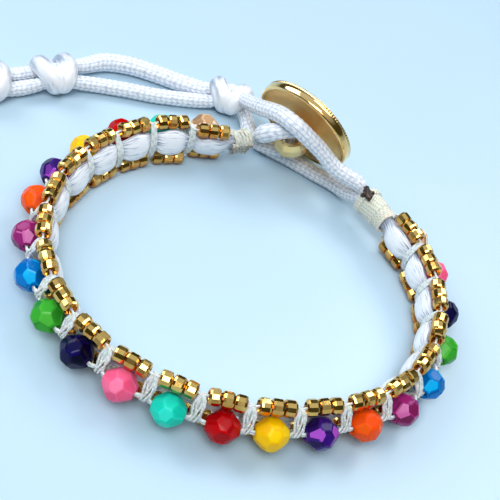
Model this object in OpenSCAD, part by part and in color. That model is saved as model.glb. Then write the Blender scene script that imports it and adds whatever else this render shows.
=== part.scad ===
// Macrame bracelet. Faceted glass beads and two rows of gold seed beads are knotted
// with thread onto a core of two satin cords. A gold shank button at one end is pushed
// between the two cords that leave the other end, and three knots close their tail.

/* [Band] */
// Length of one bead unit, from knot to knot
unit_len = 7; // [6.9:0.1:7.4]
// Height of each seed row above or below the band's middle line
row_half = 3.35; // [3.3:0.05:3.5]
// Where the first unit starts, seen from above
start = [25.6, 11.5]; // [-60:0.1:60]
// Direction in which the first unit runs
start_heading = -58; // [-70:1:-50]

/* [Glass beads] */
// Diameter of a faceted bead
bead_d = 5.2; // [4.8:0.1:5.2]
// Facets in the middle row of a bead
bead_facets = 7; // [6:1:8]
// Slope of the facets round a bead's ends
end_slope = 40; // [36:1:44]
// Diameter of the hole drilled through a bead
bead_hole_d = 1; // [0.8:0.1:1.2]
// How far a bead's middle stands outside the band's middle plane
bead_out = 2.45; // [2.4:0.05:2.7]

/* [Seed beads] */
// Diameter of a seed bead
seed_d = 2.5; // [2.2:0.1:2.5]
// Length of a group of three seed beads
group_len = 5.2; // [4.8:0.1:5.3]

/* [Cords and thread] */
// Height of each core cord above or below the middle line
core_half = 1.1; // [1.09:0.01:1.2]
// How far the core lies inside the band's middle plane
core_in = 1.2; // [1.2:0.05:1.4]
// Diameter of the knotting thread
thread_d = 0.45; // [0.35:0.05:0.5]
// Width of a knotted tie along the band
tie_w = 0.9; // [0.7:0.1:0.9]
// Length of the whipping at the right end
right_whip_len = 6.7; // [6:0.1:6.8]
// Length of the whipping at the left end
left_whip_len = 3.9; // [3.5:0.1:4.2]
// Thickness of the thread wound on the right whipping
right_whip_wall = 0.55; // [0.45:0.05:0.6]

/* [Button] */
// Diameter of the button
button_d = 19; // [17:0.5:19]
// Height of the button's straight edge
button_edge = 1.9; // [1.5:0.1:2.2]
// Height of the dome on the button's front
dome_h = 1.4; // [1:0.1:2]
// Middle of the button's back
button_at = [9.2, 27.7, 8.8]; // [-60:0.1:60]
// Direction of the level line across the button's back
button_heading = 142.5; // [140:0.5:145]
// Tilt of the button's front away from straight up
button_tilt = 65; // [63:1:67]
// Width of the shank's eye
shank_w = 6.6; // [6:0.1:7]
// Thickness of the shank's eye
shank_t = 4.2; // [3.8:0.1:4.2]
// Distance from the back to the middle of the eye
shank_reach = 2.9; // [2.8:0.1:3.1]
// Diameter of the hole in the shank
shank_hole_d = 3; // [2.9:0.1:3.2]

/* [Hidden] */

// Colours of the glass: bronze at both ends, and ten colours twice in the same order
TEN = ["hotpink", "midnightblue", "limegreen", "deepskyblue", "mediumvioletred", "orangered",
    "indigo", "gold", "firebrick", "turquoise"];
GLASS = concat(["peru"], TEN, TEN, ["peru"]);
units = len(GLASS);
last = units - 1;

// Smallest gap between two pieces
gap = 0.1;

// Course of the band, clockwise seen from above
TIES = 0;
BEND = 1;
SECTIONS = [
    // ties in the stretch, bend at each tie
    [6, 16],    // right side
    [5, 10.5],  // front
    [6, 15],    // left side
    [2, 13.5],  // rear
    [1, 18.5],  // rear corner
    [1, 8]];    // last unit before the button
// How far the band's top edge leans outward: unit, angle
LEAN_AT = [[0, 5], [7, 5], [9, 9], [13, 11], [16, 9], [18, 16], [20, 15], [21, -16]];
// How far the band rises off the surface towards its right end: unit, rise
RISE_AT = [[0, 0.6], [1, 0.3], [2, 0], [last, 0]];
BENDS = [for (s = SECTIONS) for (k = [1:s[TIES]]) s[BEND]];
HEADING = [for (i = 0, h = start_heading; i < units; h = h - (i < last ? BENDS[i] : 0), i = i + 1) h];
ENDS = [for (i = 0, p = start; i <= units; p = p + unit_len * course(HEADING[min(i, last)]), i = i + 1) p];

seed_r = seed_d / 2;
thread_r = thread_d / 2;
// Each bead is turned a little further round its thread than the one before
bead_turn = 17;

// A tie is a stadium ring: place of its middle, radius and half height of its hole
tie_out = -0.45;
tie_hole_r = 1.3;
tie_hole_half = 3.8;
// Half length of a core cord's puff, and its half width and half height
puff_half = 1.7;
puff = [1.15, 1.03];
// Core cords pinched in a tie: half length, place inward, height, half width and half height
pinch_half = 0.6;
pinch_in = 0.9;
pinch_up = 1;
pinch = [0.75, 0.9];
// Core cords pinched in a whipping, and the hole of the whipping
whip_core_half = 0.85;
whip_pinch = [0.95, 0.75];
whip_hole_r = 1.25;
whip_hole_half = 1.75;
// Places of the threads that end on the whippings: height of the edge threads, and how
// far out the beads' thread is
whip_edge = whip_hole_half + thread_r;
whip_side = whip_hole_r + thread_r;
whip_gap = 0.3;
right_whip_z = 5.2;
left_whip_z = 4.5;
right_whip_heading = 124.5;
left_whip_heading = 26;
// The beads' thread: straight this far from a bead's middle, and how far out it is at a tie
thread_exit = 2.65;
thread_dip = 1.7;
// How far each bead has slid on its thread from the middle of its unit: along, outward, up
BEAD_SHIFT = [
    [0.2, 0.9, -0.6], [0, 0.45, -0.3], [0.2, 0.3, -0.4], [0.2, 0.3, -0.4], [0.3, 0.3, -0.4],
    [0, 0.3, -0.4], [0, 0, 0], [0, 0, 0], [0, 0, 0], [-0.4, 0, 0], [0, 0, 0],
    [0.1, 0.05, 0.25], [0.4, 0, 0], [0, 0.1, 0], [0, 0.1, 0], [0, 0.1, 0], [0, 0.3, 0],
    [-0.1, 0.9, -0.3], [-0.5, 0.7, 0.4], [-0.35, 0.7, 0.75], [-0.5, 0.6, 0.6],
    [-0.5, 0.2, 0]];
// Melted thread on the right whipping: along, outward, up, radius
BURNT = [[-6.6, -1.2, 2.5, 0.42], [-5.7, -1.5, 2.45, 0.55], [-4.8, -1.7, 2.2, 0.35]];

// Routes of the satin cords: x, y, z and radius at each point
STRAND_A = [
    [21.5, 17.5, 6.05, 0.75], [21.1, 18.1, 6.15, 0.85], [20.3, 18.8, 6.5, 1.3], [19, 19.4, 6.9, 1.4],
    [15.5, 20.5, 7.7, 1.4], [12, 21.5, 10.1, 1.4], [8.5, 22.1, 12.3, 1.4], [6, 23, 13.4, 1.4],
    [4, 25.5, 12.7, 1.4], [1.8, 29.2, 10.2, 1.4], [0.2, 33.1, 7.5, 1.4], [-0.2, 36.7, 5.2, 1.3],
    [-1.1, 39.1, 4.4, 1.05], [-2.5, 40.2, 4.2, 0.95], [-4.5, 40.6, 3.5, 1.05], [-7.5, 41, 2.1, 1.45],
    [-11.5, 41.8, 1.7, 1.65], [-16, 42.7, 1.7, 1.65], [-21, 43.4, 1.75, 1.7],
    [-26, 42.8, 1.75, 1.7], [-30, 40, 2, 1.45], [-32.5, 37.5, 3.2, 1.05], [-34.1, 36.1, 3.7, 0.95],
    [-35.8, 35.4, 3.2, 1.05], [-38.5, 35.3, 1.9, 1.35], [-41.5, 33.5, 1.9, 1.3],
    [-43.5, 31.7, 3.2, 1.05], [-45, 30.4, 3.6, 0.95], [-46.7, 29.5, 3.2, 1.05],
    [-49, 28.5, 1.8, 1.35], [-52.4, 27.4, 1.45, 1.4], [-54.9, 26.4, 1.45, 1.4]];
STRAND_B = [
    [21.4, 17.4, 4.35, 0.75], [21, 18.1, 4.15, 0.85], [20.6, 19.4, 3.35, 1.35], [19.5, 21, 2.3, 1.4],
    [17, 23.4, 1.6, 1.4], [14, 25, 1.45, 1.4], [9.8, 27.2, 1.45, 1.4], [5.6, 29.1, 1.45, 1.4],
    [2.8, 30.8, 1.45, 1.4], [1.5, 33.7, 1.45, 1.4], [0.8, 36.3, 1.7, 1.3], [-0.6, 37.7, 2.2, 1.05],
    [-2.5, 38.5, 2.4, 0.95], [-4.6, 38.4, 2.1, 1.05], [-7.5, 38.1, 1.6, 1.35],
    [-11.5, 37.5, 1.45, 1.4], [-16, 36.9, 1.45, 1.4], [-21, 36.7, 1.45, 1.4], [-26, 36.3, 1.5, 1.4],
    [-29.8, 35.5, 1.8, 1.35], [-32.6, 34.4, 2.4, 1.05], [-34.3, 33.5, 2.5, 0.95],
    [-36, 32.7, 2.2, 1.05], [-38.5, 31.6, 1.6, 1.35], [-41.2, 30, 1.6, 1.3], [-43.3, 28.5, 2.1, 1.05],
    [-44.8, 27.4, 2.2, 0.95], [-46.4, 26.5, 2, 1.05], [-48.7, 24.9, 1.5, 1.35],
    [-51.4, 22.9, 1.45, 1.4], [-53.3, 21.4, 1.45, 1.4]];
// The satin loop over the button's shank, in the button's own directions: level, up,
// front and radius. It starts and ends at the left whipping.
LOOP = [
    [5.2, -0.8, -6.1, 0.85], [4.4, 0.5, -5.7, 1.2], [3.75, 2.1, -6, 1.4],
    [2.95, 3.4, -5.75, 1.4], [1.9, 3.7, -4.9, 1.35], [0.9, 3.55, -3.9, 1.2],
    [0.2, 3.1, -3.1, 1.1], [0, 2.2, -2.9, 1.1], [0, 0, -2.9, 1.1], [0, -2.2, -2.9, 1.1],
    [0.2, -3.2, -3.2, 1.1], [1.3, -3.7, -4, 1.2], [3, -3.5, -5, 1.25],
    [4.6, -3.1, -5.9, 1.2], [5.65, -2.55, -6.7, 0.95]];
// Room round a strand in a knot, and how far from a knot's middle its strands are cut out
knot_gap = 0.23;
knot_reach = 7.5;
// Lobes of the knots: x, y, z and radius
KNOT_1 = [[-2.6, 39.5, 3, 2.9], [-4.2, 39.9, 3.3, 2.3], [-1.1, 40.2, 3.7, 2.3]];
KNOT_2 = [[-34.3, 35.2, 3.2, 3.2], [-33.5, 36.9, 3.4, 2.5], [-35.2, 33.5, 2.7, 2.5]];
KNOT_3 = [[-45, 29.1, 3.1, 3.1], [-44.4, 30.8, 3.3, 2.4], [-45.6, 27.4, 2.6, 2.5]];

// Horizontal unit vector at an angle
function course(h) = [cos(h), sin(h)];

// A frame on the band: origin, along, outward and up, with the top edge leaning by l
function frame(p, z, h, l) = [
    [p.x, p.y, z],
    [cos(h), sin(h), 0],
    [-sin(h) * cos(l), cos(h) * cos(l), -sin(l)],
    [-sin(h) * sin(l), cos(h) * sin(l), cos(l)]];
function lean(i) = lookup(i, LEAN_AT);
// The lower seed row stands on the surface, which sets the height of the middle line
function stand(i) = row_half * cos(lean(i)) + seed_r + lookup(i, RISE_AT);
function unit_frame(i) = frame((ENDS[i] + ENDS[i + 1]) / 2, stand(i), HEADING[i], lean(i));
// Tie j stands between units j - 1 and j
function tie_heading(j) = (HEADING[j - 1] + HEADING[j]) / 2;
function tie_frame(j) = frame(ENDS[j], stand(j - 0.5), tie_heading(j), lean(j - 0.5));
// Frames of the whippings, with their origin at the face next to the band
right_whip = frame(start + whip_gap * course(right_whip_heading), right_whip_z,
    right_whip_heading + 180, lean(0));
left_whip = frame(ENDS[units] + whip_gap * course(left_whip_heading), left_whip_z,
    left_whip_heading, lean(last));
function bead_at(i, s) = let (shift = BEAD_SHIFT[i])
    at(unit_frame(i), s + shift.x, bead_out + shift.y, shift.z);
function at(f, s, o, u) = f[0] + s * f[1] + o * f[2] + u * f[3];
// A ring of points across the band at s, o, u, with half sizes outward and up
function ring(f, s, o, u, size, sides) = [for (k = [0:sides - 1])
    let (a = 360 * k / sides) at(f, s, o + size.x * cos(a), u + size.y * sin(a))];

// The button's own directions: level, up and front
button_level = [cos(button_heading), sin(button_heading), 0];
button_front = [
    sin(button_tilt) * sin(button_heading),
    -sin(button_tilt) * cos(button_heading),
    cos(button_tilt)];
button_up = cross(button_front, button_level);
function on_button(p) = button_at + p.x * button_level + p.y * button_up + p.z * button_front;
loop_route = concat(
    [point_row(at(left_whip, left_whip_len + 3 * gap, 0, whip_core_half), 0.75)],
    [for (p = LOOP) point_row(on_button(p), p[3])],
    [point_row(at(left_whip, left_whip_len + 3 * gap, 0, -whip_core_half), 0.75)]);

// Smooth curve through rows of x, y, z and radius, with a number of steps per stretch
function curve_point(a, b, c, d, t) = b + t * (c - a) / 2
    + t * t * (a - 2.5 * b + 2 * c - d / 2) + t * t * t * (1.5 * (b - c) + (d - a) / 2);
function smooth_route(rows, steps) = let (n = len(rows) - 1) concat(
    [for (i = [0:n - 1]) for (k = [0:steps - 1])
        curve_point(rows[max(i - 1, 0)], rows[i], rows[i + 1], rows[min(i + 2, n)], k / steps)],
    [rows[n]]);
function xyz(row) = [row.x, row.y, row.z];
function point_row(p, r) = [p.x, p.y, p.z, r];
function unit(v) = v / norm(v);
function route_heading(rows, i) =
    unit(xyz(rows[min(i + 1, len(rows) - 1)]) - xyz(rows[max(i - 1, 0)]));
// Rings square to a route, wider by grow; each one's side direction follows from the last
function route_rings(rows, sides, grow) = let (
    side_list = [for (i = 0, v = unit(cross([0, 0, 1], route_heading(rows, 0))); i < len(rows);
        i = i + 1,
        v = i < len(rows) ? let (t = route_heading(rows, i)) unit(v - (v * t) * t) : v) v])
    [for (i = [0:len(rows) - 1]) let (v = side_list[i], w = cross(route_heading(rows, i), v))
        [for (k = [0:sides - 1]) let (a = 360 * (k + 0.5) / sides)
            xyz(rows[i]) + (rows[i][3] + grow) * (cos(a) * v + sin(a) * w)]];

// The stretch of a route that runs through a knot round p
function stretch_near(rows, p) = [for (row = rows) if (norm(xyz(row) - p) < knot_reach) row];

// A closed skin over rings of points
module skin(rings) {
    n = len(rings[0]);
    m = len(rings);
    polyhedron(
        points = [for (r = rings) each r],
        faces = concat(
            [[for (k = [0:n - 1]) k]],
            [for (j = [0:m - 2]) for (k = [0:n - 1]) let (q = (k + 1) % n)
                [j * n + k, j * n + n + k, j * n + n + q, j * n + q]],
            [[for (k = [n - 1:-1:0]) (m - 1) * n + k]]));
}

// Draws its children with x along a heading and z leaning outward by l
module in_frame(origin, h, l) translate(origin) rotate([-l, 0, h]) children();

// A bar along x with round top and bottom edges of radius r
module stadium(length, r, half) {
    translate([-length / 2, -r, r - half]) cube([length, 2 * r, 2 * (half - r)]);
    for (side = [-1, 1]) translate([-length / 2, 0, side * (half - r)])
        rotate([0, 90, 0]) cylinder(r = r, h = length, $fn = 32);
}
module stadium_ring(length, r, half, wall) {
    difference() {
        stadium(length, r + wall, half + wall);
        stadium(2 * length, r, half);
    }
}

// Fire-polished bead: a middle row of hexagons between two rows of pentagons, drilled
module faceted_bead() {
    n = bead_facets;
    step = 360 / n;
    r = bead_d / 2;
    // Every facet touches a sphere of this radius
    d = r * cos(step / 2);
    half_len = 0.96 * r;
    end_r = (d - sin(end_slope) * half_len) / (cos(end_slope) * cos(step / 2));
    peak = (d - d * cos(end_slope) * cos(step / 2)) / sin(end_slope);
    corner = (d - r * cos(end_slope)) / sin(end_slope);
    rows = [
        // place along the hole, radius, turn in steps
        [-half_len, end_r, 0.5], [-peak, d, 0.5], [-corner, r, 0],
        [corner, r, 0], [peak, d, 0.5], [half_len, end_r, 0.5]];
    difference() {
        polyhedron(
            points = [for (row = rows) for (k = [0:n - 1]) let (a = step * (k + row[2]))
                [row[0], row[1] * cos(a), row[1] * sin(a)]],
            faces = concat(
                [[for (k = [0:n - 1]) k]],
                [for (k = [0:n - 1]) let (p = (k + n - 1) % n)
                    [p, n + p, 2 * n + k, n + k, k]],
                [for (k = [0:n - 1]) let (q = (k + 1) % n)
                    [2 * n + k, 3 * n + k, 4 * n + k, 3 * n + q, 2 * n + q, n + k]],
                [for (k = [0:n - 1]) let (p = (k + n - 1) % n)
                    [4 * n + p, 5 * n + p, 5 * n + k, 4 * n + k, 3 * n + k]],
                [[for (k = [n - 1:-1:0]) 5 * n + k]]));
        translate([-bead_d, 0, 0]) rotate([0, 90, 0])
            cylinder(d = bead_hole_d, h = 2 * bead_d, $fn = 24);
    }
}

module bead(i) {
    color(GLASS[i]) in_frame(bead_at(i, 0), HEADING[i], lean(i))
        rotate([bead_turn * i, 0, 0]) faceted_bead();
}

// One edge row: a bulge for each group of three seeds, with thread through every tie
module seed_row(side) {
    function end_ring(f, s, u) = ring(f, s, 0, side * u, [thread_r, thread_r], 8);
    near_tie = tie_w / 2 + gap;
    color("goldenrod") skin(concat(
        [end_ring(right_whip, gap, whip_edge)],
        [for (i = [0:last]) let (f = unit_frame(i)) each concat(
            [i == 0 ? end_ring(f, near_tie - unit_len / 2, row_half)
                : end_ring(tie_frame(i), near_tie, row_half)],
            [for (s = [-1, 1]) ring(f, s * group_len / 2, 0, side * row_half, [seed_r, seed_r], 8)],
            [i == last ? end_ring(f, unit_len / 2 - near_tie, row_half)
                : end_ring(tie_frame(i + 1), -near_tie, row_half)])],
        [end_ring(left_whip, -gap, whip_edge)]));
}
module upper_seed_row() seed_row(1);
module lower_seed_row() seed_row(-1);

// One satin cord of the core: a puff in each unit, pinched in every tie and whipping
module core_cord(side) {
    function tie_ring(j, s) =
        ring(tie_frame(j), s, -pinch_in, side * pinch_up, pinch, 8);
    color("aliceblue") skin(concat(
        [for (s = [-right_whip_len, 0])
            ring(right_whip, s, 0, side * whip_core_half, whip_pinch, 8)],
        [for (i = [0:last]) let (f = unit_frame(i)) each concat(
            i == 0 ? [] : [tie_ring(i, pinch_half)],
            [for (s = [-puff_half, puff_half]) ring(f, s, -core_in, side * core_half, puff, 8)],
            i == last ? [] : [tie_ring(i + 1, -pinch_half)])],
        [for (s = [0, left_whip_len])
            ring(left_whip, s, 0, side * whip_core_half, whip_pinch, 8)]));
}
module upper_core_cord() core_cord(1);
module lower_core_cord() core_cord(-1);

// The thread that all the glass beads are strung on
module bead_thread() {
    rows = concat(
        [point_row(at(right_whip, 3 * gap, whip_side, 0), thread_r)],
        [for (i = [0:last]) each concat(
            [for (s = [-1, 1]) point_row(bead_at(i, s * thread_exit), thread_r)],
            i == last ? [] : [point_row(at(tie_frame(i + 1), 0, thread_dip, 0), thread_r)])],
        [point_row(at(left_whip, -3 * gap, whip_side, 0), thread_r)]);
    color("ivory") skin(route_rings(rows, 6, 0));
}

// A loop of thread round the core and both edge threads, between every two units
module square_knots() {
    color("ivory") for (j = [1:last])
        in_frame(at(tie_frame(j), 0, tie_out, 0), tie_heading(j), lean(j - 0.5))
            stadium_ring(tie_w, tie_hole_r, tie_hole_half, thread_d);
}

// Thread wound round both core cords
module right_whipping() {
    color("ivory")
        in_frame(at(right_whip, -right_whip_len / 2, 0, 0), right_whip_heading + 180, lean(0))
            stadium_ring(right_whip_len, whip_hole_r, whip_hole_half, right_whip_wall);
}
module left_whipping() {
    color("ivory")
        in_frame(at(left_whip, left_whip_len / 2, 0, 0), left_whip_heading, lean(last))
            stadium_ring(left_whip_len, whip_hole_r, whip_hole_half, thread_d);
}

// Melted end of the knotting thread, on top of the right whipping
module burnt_thread_end() {
    color("saddlebrown") hull() for (row = BURNT)
        translate(at(right_whip, row[0], row[1], row[2])) sphere(r = row[3], $fn = 10);
}

// Gold button with a dished back, a straight edge, a low domed front and an eye shank
module button() {
    r = button_d / 2;
    dome_r = (r * r + dome_h * dome_h) / (2 * dome_h);
    color("gold") translate(button_at) rotate([button_tilt, 0, button_heading]) difference() {
        union() {
            rotate_extrude($fn = 96) polygon([
                [0, 0], [r - 2.2, 0.5], [r - 1, 0.4], [r - 0.5, 0], [r - 0.2, 0.1],
                [r, 0.4], [r, button_edge],
                each [for (k = [1:6]) let (a = asin(r / dome_r) * (1 - k / 6))
                    [dome_r * sin(a), button_edge + dome_h - dome_r * (1 - cos(a))]]]);
            rotate([90, 0, 0]) linear_extrude(height = shank_t, center = true) {
                translate([-shank_w / 2, -shank_reach]) square([shank_w, shank_reach + 0.4]);
                translate([0, -shank_reach]) circle(d = shank_w, $fn = 48);
            }
        }
        translate([0, shank_t, -shank_reach]) rotate([90, 0, 0])
            cylinder(d = shank_hole_d, h = 2 * shank_t, $fn = 48);
    }
}

// The fold of the satin cord that holds the button: out over the shank, through its
// eye and back below it
module button_loop() {
    color("aliceblue") skin(route_rings(smooth_route(loop_route, 2), 8, 0));
}

// The two satin cords from the right whipping to the end of the tail
module strand_a() color("aliceblue") skin(route_rings(smooth_route(STRAND_A, 2), 8, 0));
module strand_b() color("aliceblue") skin(route_rings(smooth_route(STRAND_B, 2), 8, 0));

// A ball of flat facets round a point, from rings of 12 points
module ball(p, r) {
    skin([for (band = [0:5]) let (b = 30 * band - 75)
        [for (k = [0:11]) p + r * [cos(b) * cos(30 * k), cos(b) * sin(30 * k), sin(b)]]]);
}

// An overhand knot of both strands: rounded lobes with the strands passing through
module knot(lobes) {
    color("aliceblue") difference() {
        for (row = lobes) ball(xyz(row), row[3]);
        for (strand = [STRAND_A, STRAND_B])
            skin(route_rings(stretch_near(smooth_route(strand, 2), xyz(lobes[0])), 8, knot_gap));
    }
}
module knot_1() knot(KNOT_1);
module knot_2() knot(KNOT_2);
module knot_3() knot(KNOT_3);

for (i = [0:last]) bead(i);
upper_seed_row();
lower_seed_row();
upper_core_cord();
lower_core_cord();
bead_thread();
square_knots();
right_whipping();
left_whipping();
burnt_thread_end();
button();
button_loop();
strand_a();
strand_b();
knot_1();
knot_2();
knot_3();
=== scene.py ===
# %% [markdown]
# # A macrame bracelet with faceted beads
# The bracelet is a band of 22 faceted glass beads and two edge rows of gold seed beads,
# knotted with thread onto a folded satin cord. A gold shank button closes it, and the two
# cord ends leave it with three knots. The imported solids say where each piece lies. This
# lesson keeps the rigid ones, the glass beads, and gives them glass. It replaces the soft
# and the small ones by cords, threads, seeds and knots with their real surface.

import math
import random

import bpy
from mathutils import Matrix, Vector


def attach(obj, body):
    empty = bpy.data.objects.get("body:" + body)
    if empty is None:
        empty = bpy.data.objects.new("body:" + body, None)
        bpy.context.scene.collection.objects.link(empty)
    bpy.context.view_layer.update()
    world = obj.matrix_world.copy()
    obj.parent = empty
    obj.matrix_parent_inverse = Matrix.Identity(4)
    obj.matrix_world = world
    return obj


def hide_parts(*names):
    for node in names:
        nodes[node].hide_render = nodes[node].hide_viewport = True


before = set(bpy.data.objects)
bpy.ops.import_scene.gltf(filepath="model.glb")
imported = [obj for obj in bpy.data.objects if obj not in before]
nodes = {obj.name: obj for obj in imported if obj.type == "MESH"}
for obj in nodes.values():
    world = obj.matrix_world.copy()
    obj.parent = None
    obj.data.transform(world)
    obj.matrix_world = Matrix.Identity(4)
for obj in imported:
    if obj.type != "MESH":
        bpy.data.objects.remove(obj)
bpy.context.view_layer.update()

# %% [markdown]
# ## Colours and shader nodes
# Colours are given as sRGB hex values, but shaders add light in linear values, so
# one function turns each of them. A second function adds a node with its settings and its
# inputs. An input is a plain value, a socket of another node, or that node itself, which
# then gives its first output. That keeps each material as short as its recipe.

# %% Helpers for materials
def linear(code):
    """An sRGB colour such as #E8B820 as linear red, green and blue, with alpha 1"""
    parts = [int(code[k:k + 2], 16) / 255 for k in (1, 3, 5)]
    turned = [p / 12.92 if p <= 0.04045 else ((p + 0.055) / 1.055) ** 2.4 for p in parts]
    return (*turned, 1.0)


def feed(tree, node, inputs):
    """Sets inputs of a node to values, to sockets, or to other nodes' first output in use"""
    for key, value in inputs.items():
        if isinstance(value, bpy.types.Node):
            value = next(socket for socket in value.outputs if socket.enabled)
        if isinstance(value, bpy.types.NodeSocket):
            tree.links.new(value, node.inputs[key])
        else:
            node.inputs[key].default_value = value


def add(tree, kind, inputs=None, **settings):
    """Adds a node with its settings and inputs"""
    node = tree.nodes.new(kind)
    for name, value in settings.items():
        setattr(node, name, value)
    feed(tree, node, inputs or {})
    return node


def new_finish(name, constants):
    """A material with one Principled shader, and the constants on its own sockets"""
    finish = bpy.data.materials.new(name)
    finish.use_nodes = True
    tree = finish.node_tree
    shader = tree.nodes["Principled BSDF"]
    feed(tree, shader, constants)
    return finish, tree, shader


print("gold seed colour in linear values:", linear("#E8B820"))

# %% [markdown]
# ## The camera
# The photograph was taken from above the front edge at about 45 degrees. Its camera was
# found by matching the places of all the beads, so the numbers are the camera's place and
# its three directions. A lens of 75.6 mm on a 36 mm sensor gives the same perspective.

# %% Camera
MM = 0.001


def new_object(name, data):
    """An object for a mesh, a lamp or a lens, linked to the scene"""
    made = bpy.data.objects.new(name, data)
    bpy.context.scene.collection.objects.link(made)
    return made


lens = bpy.data.cameras.new("camera")
lens.lens, lens.sensor_width = 75.6, 36
lens.clip_start, lens.clip_end = 0.01, 10
camera = new_object("camera", lens)
to_right = Vector((0.9616, 0, 0.2744)).normalized()
backward = Vector((-0.2031, -0.6725, 0.7117)).normalized()
upward = backward.cross(to_right).normalized()
camera.matrix_world = (Matrix.Translation(Vector((-33.2, -112.6, 124.2)) * MM)
    @ Matrix((to_right, upward, backward)).transposed().to_4x4())
bpy.context.scene.camera = camera
print("camera", round(camera.location.length, 3), "m from the origin")

# %% [markdown]
# ## The course of the band
# Seen from above, the band is a chain of 22 straight units of 7 mm, one for each glass
# bead, which bend only at the ties between them. The solids follow the same chain, so its
# numbers are repeated here: the bends, how far the band's top edge leans outward, and how
# far its right end rises. A frame on the band is a place with three directions, along,
# outward and up.

# %% Frames along the band
# A unit's length, a seed row's distance from the middle, and a seed's radius in the solids
UNIT, ROW, SEED_R = 7.0, 3.35, 1.25
BENDS = [16] * 6 + [10.5] * 5 + [15] * 6 + [13.5] * 2 + [18.5, 8]
LEANS = [(0, 5), (7, 5), (9, 9), (13, 11), (16, 9), (18, 16), (20, 15), (21, -16)]
RISES = [(0, 0.6), (1, 0.3), (2, 0), (21, 0)]
headings = [-58.0]
for bend in BENDS:
    headings.append(headings[-1] - bend)
ends = [Vector((25.6, 11.5))]
for heading in headings:
    step = Vector((math.cos(math.radians(heading)), math.sin(math.radians(heading))))
    ends.append(ends[-1] + UNIT * step)


def between(table, unit):
    """The value that a table of units and values has at a unit or between two"""
    for (a, low), (b, high) in zip(table, table[1:]):
        if unit <= b:
            return low + (high - low) * (unit - a) / (b - a)


def band_frame(x, y, z, heading, lean):
    """A place with the directions along, outward and up"""
    h, l = math.radians(heading), math.radians(lean)
    return (Vector((x, y, z)), Vector((math.cos(h), math.sin(h), 0)),
        Vector((-math.sin(h) * math.cos(l), math.cos(h) * math.cos(l), -math.sin(l))),
        Vector((-math.sin(h) * math.sin(l), math.cos(h) * math.sin(l), math.cos(l))))


def standing(point, heading, unit):
    """A frame at the height where the lower seed row stands on the table, or rises off it"""
    lean = between(LEANS, unit)
    return band_frame(*point, ROW * math.cos(math.radians(lean)) + SEED_R
        + between(RISES, unit), heading, lean)


def at(place, s, o, u):
    """The point s along, o outward and u up from a frame"""
    return place[0] + s * place[1] + o * place[2] + u * place[3]


def winding_frame(end, slide, height, heading, lean):
    """The frame where a winding starts, slid a little along from an end of the band"""
    h = math.radians(heading)
    return band_frame(end.x + slide * math.cos(h), end.y + slide * math.sin(h), height,
        heading, lean)


units = [standing((a + b) / 2, heading, i)
    for i, (a, b, heading) in enumerate(zip(ends, ends[1:], headings))]
ties = [standing(ends[j], (headings[j - 1] + headings[j]) / 2, j - 0.5)
    for j in range(1, len(headings))]
right_whip = winding_frame(ends[0], -0.3, 5.2, 304.5, 5)
left_whip = winding_frame(ends[-1], 0.3, 4.5, 26, -16)
print(len(units), "units and", len(ties), "ties, the band ends at", tuple(ends[-1]))

# %% [markdown]
# ## Shapes that follow a route
# A cord is a skin over rings. The route between a few known points is a Catmull-Rom curve,
# which passes through each of them, and it is measured off in even steps so that the weave
# keeps its pitch. Each ring is turned as little as possible from the last one. The skin
# also gets weave coordinates, once round the cord and millimetres along it, and each point
# its painted light, taken from its relief: 1, a painted highlight, on top of a stitch and 0,
# painted shade, at the bottom of a groove.

# %% Helpers for routes and skins
# How deep a groove of the braid is
RELIEF = 0.11


def round_angles(count):
    """Evenly spaced angles of one whole turn"""
    return [math.tau * k / count for k in range(count)]


def curve_point(a, b, c, d, t):
    """A point between rows b and c of a Catmull-Rom curve"""
    return [q + t * (r - p) / 2 + t * t * (p - 2.5 * q + 2 * r - s / 2)
        + t ** 3 * (1.5 * (q - r) + (s - p) / 2) for p, q, r, s in zip(a, b, c, d)]


def smooth(rows, steps=12):
    """Rows of numbers, rounded by a curve through all of them"""
    last = len(rows) - 1
    made = [curve_point(rows[max(i - 1, 0)], rows[i], rows[i + 1], rows[min(i + 2, last)],
        k / steps) for i in range(last) for k in range(steps)]
    return made + [list(rows[-1])]


def lengths_along(rows):
    """How far each row lies along the line through all of them"""
    lengths = [0.0]
    for a, b in zip(rows, rows[1:]):
        lengths.append(lengths[-1] + math.dist(a[:3], b[:3]))
    return lengths


def even(rows, step):
    """Rows at an even distance along the line through them, and each one's length so far"""
    lengths = lengths_along(rows)
    count = max(2, round(lengths[-1] / step))
    made, marks, k = [], [], 0
    for n in range(count + 1):
        mark = lengths[-1] * n / count
        while k < len(rows) - 2 and lengths[k + 1] < mark:
            k += 1
        t = (mark - lengths[k]) / max(lengths[k + 1] - lengths[k], 1e-9)
        made.append([p + t * (q - p) for p, q in zip(rows[k], rows[k + 1])])
        marks.append(mark)
    return made, marks


def across(rows):
    """Two directions square to the route at each row, turned as little as possible"""
    places = [Vector(r[:3]) for r in rows]
    last = len(places) - 1
    found, side = [], None
    for i in range(len(places)):
        ahead = (places[min(i + 1, last)] - places[max(i - 1, 0)]).normalized()
        if side is None:
            side = Vector((0, 0, 1)).cross(ahead)
        side = (side - side.dot(ahead) * ahead).normalized()
        found.append((side, ahead.cross(side)))
    return found


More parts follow.
